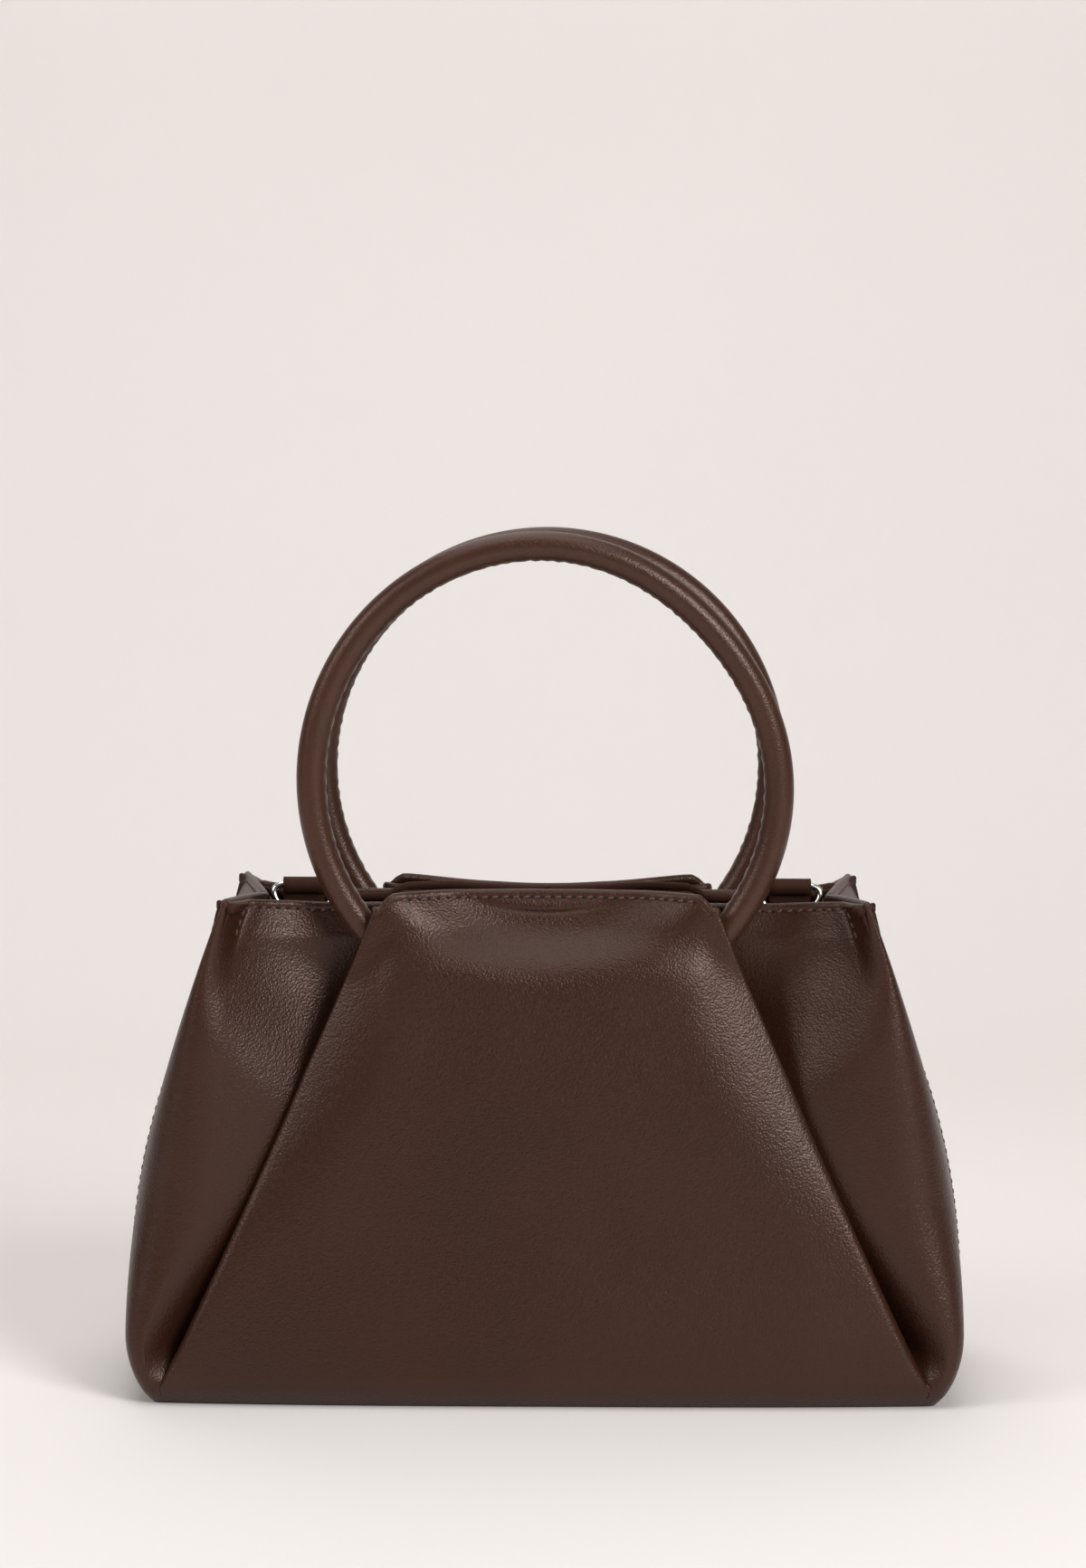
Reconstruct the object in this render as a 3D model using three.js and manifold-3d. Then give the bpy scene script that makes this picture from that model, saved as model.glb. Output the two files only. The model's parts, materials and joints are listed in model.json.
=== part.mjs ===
// Ring handle handbag: a pleated leather body that stands on a stiffened base, with two
// leather covered rings threaded through the pleats. Millimetres, +Z up, front towards -Y,
// origin on the floor at the middle of the base.
import * as THREE from 'three';
import { mergeVertices } from 'three/addons/utils/BufferGeometryUtils.js';
import Module from 'manifold-3d';

// Body, overall
const BODY_HEIGHT = 176;
const BODY_WIDTH = 302; // across the side seams, at the belly
const CORNER_WIDTH = 294; // across the corner rolls, at the belly
const MOUTH_WIDTH = 224; // across the corner folds, at the top
const GUSSET_FOLD = 12; // how far each side folds in at the top
const BELLY_HEIGHT = 25; // height of the widest place
const SIDE_TUCK = 12; // how far the side seams draw in under the belly
const CORNER_TUCK = 9; // and the corner rolls
const BASE_DEPTH = 117; // front to back, low on the middle of the body
const CORNER_DEPTH = 110; // front to back, low on the corner rolls
const MOUTH_DEPTH = 105; // front to back, across the corners at the top
const LIP_DEPTH = 58; // front lip to back lip, at the top
const FOOT_TUCK = 7; // how far the front and back draw in at the floor
const FOOT_RISE = 10; // height of that curve
const SEAM_LEAN = 2.2; // power of the curves by which the walls lean in to the mouth
const CORNER_LEAN = 1.7;
const FACE_LEAN = 1.4;
const ROLL_LOW = 12; // rounding of the corner rolls, at the floor
const ROLL_BELLY = 22; // where they are widest
const ROLL_HIGH = 9; // and where they are pinched to a ridge, at the top
const ROLL_RISE = 60; // height of the widest place
const ROLL_SHARE = 0.8; // most of a wing or gusset that a roll takes up

// Sheet goods and clearances
const LEATHER = 1.6;
const FACING = 1.4;
const LINING = 0.8;
const BOARD = 2;
const SEAM_GAP = 0.3;
const LINING_GAP = 0.9; // from the leather to what lines it
const LINING_LIFT = 3; // side linings above the base lining, clear of the pleats' feet
const FACING_HEIGHT = 68; // leather band inside the mouth

// Pleats: the middle of each face folds over its two wings
const FOLD_FOOT = 134.5; // fold line from the centre plane, at the floor
const FOLD_MOUTH = 59.5; // and at the top
const FOLD_BOW = 2.5; // how far it bows in between
const FOLD_MARGIN = 8; // least room from the fold to the corner
const PLEAT_HALF = 5; // half the flat run of the fold curve
const PLEAT_FOOT_REACH = 6; // fold-over of the curve at the floor, where the pleat runs out
const PLEAT_LOW_REACH = 26; // at the height where the pleat is fully formed
const PLEAT_TOP_REACH = 40; // at the top
const PLEAT_FORMED = 16; // that height
const PLEAT_RECESS = 8; // how far a wing lies behind the fold
const POCKET_RECESS = 10; // and low down, in the pocket beside the corner roll
const RECESS_START = 4; // height where that recess starts
const RECESS_RISE = 10; // height over which it opens
const POCKET_RUN = 12; // from the corner to the pocket's floor
const POCKET_LOW = 12; // from this height the pocket widens to the whole wing
const POCKET_HIGH = 70; // which it is at this one

// Ring handles
const RING_BORE = 154;
const RING_SECTION = 11.1;
const RING_COVER = 1.25; // leather of the cover
const RING_SPREAD = 64; // from one ring's plane to the other's
const RING_RISE = 42.2; // ring centre above the mouth
const RING_SEAM = 16; // half angle of the cover's open seam, in degrees
const RING_CLEAR = 0.7; // round a ring, in its tunnel
const PIVOT_DROP = 12; // ring's swing axis below the mouth
const SWING_OUT = 12; // degrees
const SWING_IN = 6; // degrees
const FOLD_ROOM = 3; // spare room in front of the ring
const CREST_RUN = 24; // over which the wrap rises from the lip onto the ring
const CREST_GAP = 3;
const RAMP_MIDDLE = 24; // backing's run from ring pocket to body, at the middle
const RAMP_SIDE = 38; // and at the wings
const SNAP_FLAT = 34; // half width of the flat place behind the lip

// Magnetic snap
const SNAP_DROP = 16; // centre below the mouth
const SNAP_DIAMETER = 18;
const SNAP_BODY = 3;
const STUD_DIAMETER = 7.6;
const STUD_HEIGHT = 2.5;
const SNAP_WASHER = 1;
const PRONG_THICK = 0.6;
const PRONG_WIDTH = 5;
const PRONG_SPREAD = 3.2; // from the snap's centre
const PRONG_TURN = 3.5; // length bent over behind the washer

// Strap tabs and D-rings
const TAB_WIDTH = 15;
const TAB_LENGTH = 26; // below the D-ring's bar
const TAB_MIDDLE = 88.5; // from the centre plane
const TAB_TILT = 14; // degrees, as the back facing leans
const TAB_THICK = 3.1; // two layers of leather
const BAR_DROP = 0.6; // the D-ring's bar below the mouth
const D_WIRE = 2.6;
const D_DEPTH = 12.3; // bar to the middle of the bow
const D_CLEAR = 0.35; // round the bar, in the tab's loop
const D_ARM_GAP = 1.2; // from the tab's edges to the arms
const D_BAR_SHARE = 0.8; // straight part of the bar
const D_BOW_TURN = 80; // degrees, half the bow
const D_HANG = 12; // degrees that it hangs forward of plumb

// Facets
const FOOT_ROWS = 4;
const WALL_ROWS = 8;
const ROLL_STEPS = 4;
const FOLD_STEPS = 8;
const FACE_STEPS = 4;
const LINING_STEPS = 5;
const RING_SEGMENTS = 32;
const RING_SIDES = 7;
const ROUND_SIDES = 18;
const SWEEP_SIDES = 8;
const TAB_STEPS = 10;
const STEM_STEPS = 5;
const D_STEPS = 22;
const D_SIDES = 6;
const D_BAR_POINTS = 5;
const D_BOW_POINTS = 7;

const { clamp, lerp, smoothstep, degToRad } = THREE.MathUtils;
const wasm = await Module();
wasm.setup();

// Places that follow from the sizes above
const ringTube = RING_SECTION / 2;
const ringMiddle = (RING_BORE + RING_SECTION) / 2;
const ringOuter = RING_BORE / 2 + RING_SECTION;
const ringPlane = RING_SPREAD / 2;
const ringCentre = BODY_HEIGHT + RING_RISE;
const pivotHeight = BODY_HEIGHT - PIVOT_DROP;
const ringLowest = ringCentre - ringOuter;
const facingOuter = LEATHER / 2 + LINING_GAP;
const facingInner = facingOuter + FACING;
const facingLow = BODY_HEIGHT - FACING_HEIGHT;
const boardLow = LEATHER + SEAM_GAP;
const liningLow = boardLow + BOARD + SEAM_GAP;

// Materials
function finish(color, roughness, metalness = 0) {
  return new THREE.MeshStandardMaterial({ color, roughness, metalness });
}
const leather = finish(0x3a1f18, 0.42);
const facingLeather = finish(0x341c16, 0.5);
const cloth = finish(0x4b3a30, 0.85);
const greyBoard = finish(0x77706a, 0.9);
const ringResin = finish(0xc9b79c, 0.6);
const bright = finish(0xc9c9cc, 0.22, 1);

// Solids
function welded(geometry) {
  geometry.deleteAttribute('normal');
  geometry.deleteAttribute('uv');
  return mergeVertices(geometry);
}

function solid(geometry) {
  const closed = welded(geometry);
  const vertProperties = new Float32Array(closed.attributes.position.array);
  const triVerts = new Uint32Array(closed.index.array);
  return new wasm.Manifold(new wasm.Mesh({ numProp: 3, vertProperties, triVerts }));
}

function geometryOf(manifold) {
  const { vertProperties, triVerts } = manifold.getMesh();
  const geometry = new THREE.BufferGeometry();
  geometry.setAttribute('position', new THREE.BufferAttribute(vertProperties, 3));
  geometry.setIndex(new THREE.BufferAttribute(triVerts, 1));
  return geometry;
}

function cut(geometry, cutters) {
  const body = cutters.reduce((rest, cutter) => rest.subtract(solid(cutter)), solid(geometry));
  return geometryOf(body);
}

function join(geometries) {
  return geometryOf(geometries.map(solid).reduce((whole, next) => whole.add(next)));
}

function piece(name, geometry, material) {
  const mesh = new THREE.Mesh(welded(geometry).toNonIndexed(), material);
  mesh.geometry.computeVertexNormals();
  mesh.name = name;
  return mesh;
}

function prism(points, low, high) {
  const settings = { depth: high - low, bevelEnabled: false };
  return new THREE.ExtrudeGeometry(new THREE.Shape(points), settings).translate(0, 0, low);
}

// Profiles up the wall: a rounded foot, then a curve leaning in to the mouth
function wallProfile(z, rise, foot, belly, mouth, lean) {
  if (z < rise) {
    return lerp(belly, foot, (1 - z / rise) ** 2);
  }
  return lerp(belly, mouth, ((z - rise) / (BODY_HEIGHT - rise)) ** lean);
}

function seamX(z) {
  const belly = BODY_WIDTH / 2;
  return wallProfile(z, BELLY_HEIGHT, belly - SIDE_TUCK, belly, MOUTH_WIDTH / 2 - GUSSET_FOLD, SEAM_LEAN);
}

function cornerX(z) {
  const belly = CORNER_WIDTH / 2;
  return wallProfile(z, BELLY_HEIGHT, belly - CORNER_TUCK, belly, MOUTH_WIDTH / 2, CORNER_LEAN);
}

function cornerY(z) {
  const belly = CORNER_DEPTH / 2;
  return wallProfile(z, FOOT_RISE, belly - FOOT_TUCK, belly, MOUTH_DEPTH / 2, FACE_LEAN);
}

function middleY(z) {
  const belly = BASE_DEPTH / 2;
  return wallProfile(z, FOOT_RISE, belly - FOOT_TUCK, belly, LIP_DEPTH / 2, FACE_LEAN);
}

function foldX(z) {
  const up = z / BODY_HEIGHT;
  const line = lerp(FOLD_FOOT, FOLD_MOUTH, up) - 4 * FOLD_BOW * up * (1 - up);
  return Math.min(line, cornerX(z) - FOLD_MARGIN);
}

// Rounding of the corner between gusset and wing
function cornerRoll(z) {
  if (z < ROLL_RISE) {
    return lerp(ROLL_LOW, ROLL_BELLY, smoothstep(z, 0, ROLL_RISE));
  }
  return lerp(ROLL_BELLY, ROLL_HIGH, smoothstep(z, ROLL_RISE, BODY_HEIGHT));
}

// Front face without its pleats, as a depth in Y over x and z
function envelope(x, z) {
  return -lerp(middleY(z), cornerY(z), (Math.abs(x) / cornerX(z)) ** 3);
}

function ringDistance(x, z) {
  return Math.hypot(x, z - ringCentre);
}

// Room that the front ring needs in its tunnel, before and behind it, over its swing
function tunnelFront(z) {
  const still = ringPlane + ringTube + RING_CLEAR + LEATHER / 2 + FOLD_ROOM;
  return -still - Math.max(0, pivotHeight - z) * Math.tan(degToRad(SWING_IN));
}

function tunnelBack(z) {
  const still = -ringPlane + ringTube + RING_CLEAR + LEATHER / 2;
  const swing = degToRad(z < pivotHeight ? SWING_OUT : SWING_IN);
  return still + Math.abs(z - pivotHeight) * Math.tan(swing);
}

// Wrap: the middle of the face, lifted by the ring that lies behind it
function wrap(x, z) {
  const plain = envelope(x, z);
  const crest = RING_BORE / 2 - CREST_GAP;
  const lifted = lerp(plain, tunnelFront(z), smoothstep(ringDistance(x, z), crest - CREST_RUN, crest));
  const lift = (plain - lifted) * smoothstep(z, 0, ringLowest);
  return plain - (lift + Math.hypot(lift, FOLD_ROOM) - FOLD_ROOM) / 2;
}

// Straight line down the middle of the backing, from the lip to below the ring
function backingMiddle(z) {
  const low = Math.max(z, ringLowest);
  return lerp(-LIP_DEPTH / 2, tunnelBack(ringLowest), (BODY_HEIGHT - low) / (BODY_HEIGHT - ringLowest));
}

// Depth by which the wings lie behind the face
function recess(x, z) {
  const width = cornerX(z) - foldX(z);
  const open = smoothstep(z, POCKET_LOW, POCKET_HIGH);
  const run = lerp(Math.min(POCKET_RUN, width), width, open);
  const share = clamp((cornerX(z) - Math.abs(x)) / run, 0, 1);
  const slope = lerp(smoothstep(share, 0, 1), share ** 2, open);
  const deep = lerp(POCKET_RECESS, PLEAT_RECESS, open);
  return deep * slope * smoothstep(z, RECESS_START, RECESS_START + RECESS_RISE);
}

// Backing: the wings, and what lines the face, with a pocket for the ring
function backing(x, z) {
  const side = Math.abs(x);
  const body = envelope(x, z) + recess(x, z);
  const pocket = lerp(backingMiddle(z), tunnelBack(z), smoothstep(side, SNAP_FLAT, FOLD_MOUTH - FOLD_ROOM));
  const ramp = lerp(RAMP_MIDDLE, RAMP_SIDE, smoothstep(side, SNAP_FLAT, RING_BORE / 2));
  return lerp(pocket, body, smoothstep(ringDistance(x, z), ringOuter, ringOuter + ramp));
}

// Fold curve of a pleat at one height: its reach, and how far it overhangs its own middle
function pleatReach(z) {
  if (z < PLEAT_FORMED) {
    return lerp(PLEAT_FOOT_REACH, PLEAT_LOW_REACH, z / PLEAT_FORMED);
  }
  return lerp(PLEAT_LOW_REACH, PLEAT_TOP_REACH, (z - PLEAT_FORMED) / (BODY_HEIGHT - PLEAT_FORMED));
}

function foldCurve(reach) {
  const run = PLEAT_HALF;
  return new THREE.CubicBezierCurve(
    new THREE.Vector2(-run, 0),
    new THREE.Vector2(-run + reach, 0),
    new THREE.Vector2(run - reach, 1),
    new THREE.Vector2(run, 1),
  );
}

function overhang(reach) {
  const turn = Math.max(0, (2 * reach - 4 * PLEAT_HALF) / (6 * reach - 4 * PLEAT_HALF));
  return foldCurve(reach).getPoint(0.5 - Math.sqrt(turn) / 2).x;
}

function pleatMiddle(z) {
  return -foldX(z) + overhang(pleatReach(z));
}

// Left wall at one height, from the side seam round the corner roll to the pleat. What lines the
// wall keeps out of the pinched corner, on a wider roll.
function wallPath(z, lining = false) {
  const seam = new THREE.Vector2(-seamX(z), -SEAM_GAP / 2);
  const corner = new THREE.Vector2(-cornerX(z), -cornerY(z));
  const end = pleatMiddle(z) - PLEAT_HALF;
  const round = cornerRoll(z);
  const rollEnd = corner.x + Math.min(round, ROLL_SHARE * (end - corner.x));
  const wingX = [0, 1 / 4, 2 / 4, 3 / 4].map((t) => lerp(rollEnd, end, t));
  const wing = wingX.map((x) => new THREE.Vector2(x, backing(x, z))).slice(lining ? 1 : 0);
  const inset = round + (lining ? wing[0].x - rollEnd : 0);
  const gussetEnd = corner.clone().lerp(seam, Math.min(inset / corner.distanceTo(seam), ROLL_SHARE));
  const gusset = [0, 1 / 3, 2 / 3].map((t) => seam.clone().lerp(gussetEnd, t));
  const roll = new THREE.QuadraticBezierCurve(gussetEnd, corner, wing[0]).getPoints(ROLL_STEPS);
  return [...gusset, ...roll, ...wing.slice(1)];
}

// Left pleat at one height, from the wing under the fold line and back out to the wrap
function pleatPath(z) {
  const middle = pleatMiddle(z);
  return foldCurve(pleatReach(z)).getPoints(FOLD_STEPS).map((point) => {
    const x = middle + point.x;
    return new THREE.Vector2(x, lerp(backing(x, z), wrap(x, z), smoothstep(point.y, 0, 1)));
  });
}

// Points of a face from x towards the centre plane, which they stop short of
function facePath(face, z, start, steps) {
  return Array.from({ length: steps - 1 }, (_, step) => {
    const x = start * (1 - (step + 1) / steps);
    return new THREE.Vector2(x, face(x, z));
  });
}

function mirrored(left, middle) {
  const right = left.map((point) => new THREE.Vector2(-point.x, point.y)).reverse();
  return [...left, middle, ...right];
}

function panelSection(z) {
  const front = facePath(wrap, z, pleatMiddle(z) + PLEAT_HALF, FACE_STEPS);
  return mirrored([...wallPath(z), ...pleatPath(z), ...front], new THREE.Vector2(0, wrap(0, z)));
}

function liningSection(z) {
  const pleat = [-PLEAT_HALF, 0, PLEAT_HALF].map((run) => pleatMiddle(z) + run);
  const behind = pleat.map((x) => new THREE.Vector2(x, backing(x, z)));
  const across = facePath(backing, z, pleat.at(-1), LINING_STEPS);
  return mirrored([...wallPath(z, true), ...behind, ...across], new THREE.Vector2(0, backing(0, z)));
}

// Sheet between two offsets of a surface given by its sections, one to a height, closed at the rims
function sheet(section, heights, outer, inner) {
  const grid = heights.map((z) => section(z).map((point) => new THREE.Vector3(point.x, point.y, z)));
  const lastRow = grid.length - 1;
  const lastColumn = grid[0].length - 1;
  const normalAt = (row, column) => {
    const along = grid[row][Math.min(column + 1, lastColumn)].clone();
    along.sub(grid[row][Math.max(column - 1, 0)]);
    const up = grid[Math.min(row + 1, lastRow)][column].clone().sub(grid[Math.max(row - 1, 0)][column]);
    const normal = along.cross(up);
    if (column === 0 || column === lastColumn) {
      normal.y = 0;
    }
    if (row === 0 || row === lastRow) {
      normal.z = 0;
    }
    return normal.normalize();
  };
  const layer = (offset) => grid.map((line, row) => line.map((point, column) => (
    point.clone().addScaledVector(normalAt(row, column), offset)
  )));
  const outside = layer(-outer);
  const inside = layer(-inner);
  const corners = [];
  const quad = (a, b, c, d) => corners.push(a, b, c, a, c, d);
  for (let row = 0; row < lastRow; row += 1) {
    for (let column = 0; column < lastColumn; column += 1) {
      const next = column + 1;
      quad(outside[row][column], outside[row][next], outside[row + 1][next], outside[row + 1][column]);
      quad(inside[row][column], inside[row + 1][column], inside[row + 1][next], inside[row][next]);
    }
    const over = row + 1;
    quad(outside[row][0], outside[over][0], inside[over][0], inside[row][0]);
    const end = lastColumn;
    quad(outside[row][end], inside[row][end], inside[over][end], outside[over][end]);
  }
  for (let column = 0; column < lastColumn; column += 1) {
    quad(outside[0][column], inside[0][column], inside[0][column + 1], outside[0][column + 1]);
    const [top, under] = [outside[lastRow], inside[lastRow]];
    quad(top[column], top[column + 1], under[column + 1], under[column]);
  }
  return new THREE.BufferGeometry().setFromPoints(corners);
}

// Heights of the sections: close together up the rounded foot, then even
function wallHeights() {
  const foot = Array.from({ length: FOOT_ROWS }, (_, row) => (
    BELLY_HEIGHT * (1 - Math.cos((row / FOOT_ROWS) * (Math.PI / 2)))
  ));
  const wall = Array.from({ length: WALL_ROWS + 1 }, (_, row) => (
    lerp(BELLY_HEIGHT, BODY_HEIGHT, row / WALL_ROWS)
  ));
  return [...foot, ...wall];
}

function heightsBetween(low, high) {
  return [low, ...wallHeights().filter((z) => z > low + LEATHER && z < high - LEATHER), high];
}

// Ring handle: a moulded core in a leather cover that closes along the inside of the ring
function ringProfile(radius) {
  const open = degToRad(RING_SEAM);
  return Array.from({ length: RING_SIDES + 1 }, (_, step) => {
    const turn = lerp(open, 2 * Math.PI - open, step / RING_SIDES);
    return new THREE.Vector2(ringMiddle - radius * Math.cos(turn), radius * Math.sin(turn));
  });
}

function revolved(profile) {
  return new THREE.LatheGeometry([...profile, profile[0]], RING_SEGMENTS);
}

function ringCore() {
  return revolved(ringProfile(ringTube - RING_COVER - SEAM_GAP).reverse());
}

function ringCover() {
  const outer = ringProfile(ringTube).reverse();
  return revolved([...outer, ...ringProfile(ringTube - RING_COVER)]);
}

// Room swept by the front ring over its swing, which leaves eyes in the hidden layer of the pleats
function ringSweep() {
  const wide = (ringTube + RING_CLEAR) / Math.cos(Math.PI / SWEEP_SIDES);
  const profile = Array.from({ length: SWEEP_SIDES }, (_, side) => {
    const turn = ((side + 0.5) / SWEEP_SIDES) * 2 * Math.PI;
    return new THREE.Vector2(ringMiddle + wide * Math.cos(turn), wide * Math.sin(turn));
  });
  const sweep = revolved(profile);
  const place = sweep.attributes.position;
  for (let index = 0; index < place.count; index += 1) {
    const above = place.getZ(index) + ringCentre - pivotHeight;
    const outward = place.getY(index) < 0;
    const angle = outward === above > 0 ? SWING_OUT : SWING_IN;
    const shift = Math.abs(above) * Math.tan(degToRad(angle));
    place.setY(index, place.getY(index) + (outward ? -shift : shift));
  }
  return sweep.translate(0, -ringPlane, ringCentre);
}

// Magnetic snap, in a frame whose +Y runs from the backing surface into the bag
function snapFrame() {
  const group = new THREE.Group();
  const height = BODY_HEIGHT - SNAP_DROP;
  const slope = (backingMiddle(BODY_HEIGHT) - backingMiddle(ringLowest)) / (BODY_HEIGHT - ringLowest);
  group.position.set(0, backingMiddle(height), height);
  group.rotation.x = Math.atan(-slope);
  return group;
}

function disc(diameter, low, high) {
  const geometry = new THREE.CylinderGeometry(diameter / 2, diameter / 2, high - low, ROUND_SIDES);
  return geometry.translate(0, (low + high) / 2, 0);
}

const snapSeat = facingInner + SEAM_GAP;
const washerInner = facingOuter - SEAM_GAP;
const washerOuter = washerInner - SNAP_WASHER;

function prongs() {
  const turned = washerOuter - SEAM_GAP;
  return [-1, 1].map((side) => {
    const inner = side * (PRONG_SPREAD - PRONG_THICK / 2);
    const outer = side * (PRONG_SPREAD + PRONG_THICK / 2);
    const tip = side * (PRONG_SPREAD + PRONG_TURN);
    const outline = [
      new THREE.Vector2(inner, snapSeat + PRONG_THICK),
      new THREE.Vector2(inner, turned - PRONG_THICK),
      new THREE.Vector2(tip, turned - PRONG_THICK),
      new THREE.Vector2(tip, turned),
      new THREE.Vector2(outer, turned),
      new THREE.Vector2(outer, snapSeat + PRONG_THICK),
    ];
    return prism(outline, -PRONG_WIDTH / 2, PRONG_WIDTH / 2);
  });
}

function prongSlots() {
  const thick = PRONG_THICK + 2 * SEAM_GAP;
  const wide = PRONG_WIDTH + 2 * SEAM_GAP;
  const long = 2 * (facingInner - washerOuter);
  return [-1, 1].map((side) => {
    const slot = new THREE.BoxGeometry(thick, long, wide);
    return slot.translate(side * PRONG_SPREAD, (facingInner + washerOuter) / 2, 0);
  });
}

function snapSocket() {
  const body = disc(SNAP_DIAMETER, snapSeat, snapSeat + SNAP_BODY);
  const wide = STUD_DIAMETER + 2 * SEAM_GAP;
  const well = disc(wide, snapSeat + SNAP_BODY - STUD_HEIGHT, snapSeat + 2 * SNAP_BODY);
  return join([cut(body, [well]), ...prongs()]);
}

function snapStud() {
  const plate = disc(SNAP_DIAMETER, snapSeat, snapSeat + SNAP_BODY - PRONG_THICK);
  const stud = disc(STUD_DIAMETER, snapSeat + PRONG_THICK, snapSeat + SNAP_BODY - PRONG_THICK + STUD_HEIGHT);
  return join([plate, stud, ...prongs()]);
}

function snapWasher() {
  return cut(disc(SNAP_DIAMETER, washerOuter, washerInner), prongSlots());
}

function slottedFacing() {
  const frame = snapFrame();
  frame.updateMatrix();
  const slots = prongSlots().map((slot) => slot.applyMatrix4(frame.matrix));
  const heights = heightsBetween(facingLow, BODY_HEIGHT);
  return cut(sheet(liningSection, heights, facingOuter, facingInner), slots);
}

// One half of the bag, its front: the back is the same half turned about Z
function half(name, snapName, snap) {
  const group = new THREE.Group();
  const panel = cut(sheet(panelSection, wallHeights(), -LEATHER / 2, LEATHER / 2), [ringSweep()]);
  group.add(piece(`${name}_panel`, panel, leather));
  group.add(piece(`${name}_facing`, slottedFacing(), facingLeather));
  const liningHeights = heightsBetween(liningLow + LINING_LIFT, facingLow - SEAM_GAP);
  const liningSheet = sheet(liningSection, liningHeights, facingOuter, facingOuter + LINING);
  group.add(piece(`${name}_lining`, liningSheet, cloth));
  const ring = new THREE.Group();
  ring.position.set(0, -ringPlane, ringCentre);
  ring.add(piece(`${name}_ring_core`, ringCore(), ringResin));
  ring.add(piece(`${name}_ring_cover`, ringCover(), leather));
  group.add(ring);
  const closure = snapFrame();
  closure.add(piece(`magnet_${snapName}`, snap, bright));
  closure.add(piece(`${snapName}_washer`, snapWasher(), bright));
  group.add(closure);
  return group;
}

// Base: leather bottom, stiffening board and lining, inside the foot of the walls
function footPath() {
  const seam = new THREE.Vector2(-seamX(0), -SEAM_GAP / 2);
  const corner = new THREE.Vector2(-cornerX(0), -cornerY(0));
  const start = corner.x + ROLL_LOW;
  const face = new THREE.Vector2(start, envelope(start, 0));
  const gussetEnd = corner.clone().lerp(seam, ROLL_LOW / corner.distanceTo(seam));
  const roll = new THREE.QuadraticBezierCurve(gussetEnd, corner, face).getPoints(ROLL_STEPS);
  const across = facePath(envelope, 0, start, LINING_STEPS);
  return mirrored([seam, ...roll, ...across], new THREE.Vector2(0, envelope(0, 0)));
}

function baseOutline(inset) {
  const narrow = 1 - inset / seamX(0);
  const shallow = 1 - inset / middleY(0);
  const front = footPath().map((point) => new THREE.Vector2(point.x * narrow, point.y * shallow));
  const back = front.map((point) => new THREE.Vector2(-point.x, -point.y));
  return [...front, ...back];
}

function base() {
  const group = new THREE.Group();
  const edge = LEATHER / 2 + SEAM_GAP;
  const boardEdge = edge + BOARD;
  group.add(piece('base_panel', prism(baseOutline(edge), 0, LEATHER), leather));
  group.add(piece('base_board', prism(baseOutline(boardEdge), boardLow, boardLow + BOARD), greyBoard));
  group.add(piece('base_lining', prism(baseOutline(boardEdge), liningLow, liningLow + LINING), cloth));
  return group;
}

// Strap tabs: doubled leather sewn up the back facing, looped over a D-ring's bar
const barHeight = BODY_HEIGHT - BAR_DROP;
const barLoop = D_WIRE / 2 + D_CLEAR;
const tabNose = barLoop + TAB_THICK / 2;
const tabTilt = degToRad(TAB_TILT);

// Depth of the back facing where it stands nearest behind a tab, at one height
function behindTab(z) {
  const edges = [-1, 0, 1].map((side) => TAB_MIDDLE + (side * TAB_WIDTH) / 2);
  return Math.min(...edges.map((x) => -backing(x, z))) - facingInner - SEAM_GAP;
}

// Depth at which the tab's loop and its leaning stem clear the back facing
function barDepth() {
  const levels = Array.from({ length: STEM_STEPS + 1 }, (_, step) => (step / STEM_STEPS) * TAB_LENGTH);
  const stem = levels.map((drop) => (
    behindTab(barHeight - drop * Math.cos(tabTilt)) - drop * Math.sin(tabTilt) - TAB_THICK / 2
  ));
  return Math.min(...stem, behindTab(barHeight) - tabNose);
}

// Tab about its bar: X along the bar, the stem hanging down
function strapTab() {
  const spread = Math.asin(TAB_THICK / 2 / tabNose);
  const shape = new THREE.Shape();
  shape.moveTo(-TAB_THICK / 2, -TAB_LENGTH);
  shape.lineTo(TAB_THICK / 2, -TAB_LENGTH);
  shape.absarc(0, 0, tabNose, spread - Math.PI / 2, 1.5 * Math.PI - spread, false);
  shape.closePath();
  const eye = new THREE.Path();
  eye.absarc(0, 0, barLoop, 0, 2 * Math.PI, true);
  shape.holes.push(eye);
  const settings = { depth: TAB_WIDTH, bevelEnabled: false, curveSegments: TAB_STEPS };
  const strip = new THREE.ExtrudeGeometry(shape, settings).translate(0, 0, -TAB_WIDTH / 2);
  return strip.rotateX(Math.PI / 2).rotateZ(Math.PI / 2).rotateX(tabTilt);
}

// D-ring: a round wire bent to a straight bar and a bow, about its bar
function dRing() {
  const arm = TAB_WIDTH / 2 + D_ARM_GAP + D_WIRE / 2;
  const bar = Array.from({ length: D_BAR_POINTS }, (_, step) => (
    new THREE.Vector3(arm * D_BAR_SHARE * (1 - (2 * step) / (D_BAR_POINTS - 1)), 0, 0)
  ));
  const bow = Array.from({ length: D_BOW_POINTS }, (_, step) => {
    const turn = degToRad(D_BOW_TURN) * ((2 * step) / (D_BOW_POINTS - 1) - 1);
    return new THREE.Vector3(arm * Math.sin(turn), 0, -D_DEPTH * Math.cos(turn));
  });
  const path = new THREE.CatmullRomCurve3([...bar, ...bow], true, 'centripetal');
  return new THREE.TubeGeometry(path, D_STEPS, D_WIRE / 2, D_SIDES, true).rotateX(-degToRad(D_HANG));
}

function strapFittings(side, name) {
  const group = new THREE.Group();
  group.position.set(side * TAB_MIDDLE, barDepth(), barHeight);
  group.add(piece(`${name}_tab`, strapTab(), facingLeather));
  group.add(piece(`${name}_d_ring`, dRing(), bright));
  return group;
}

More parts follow.
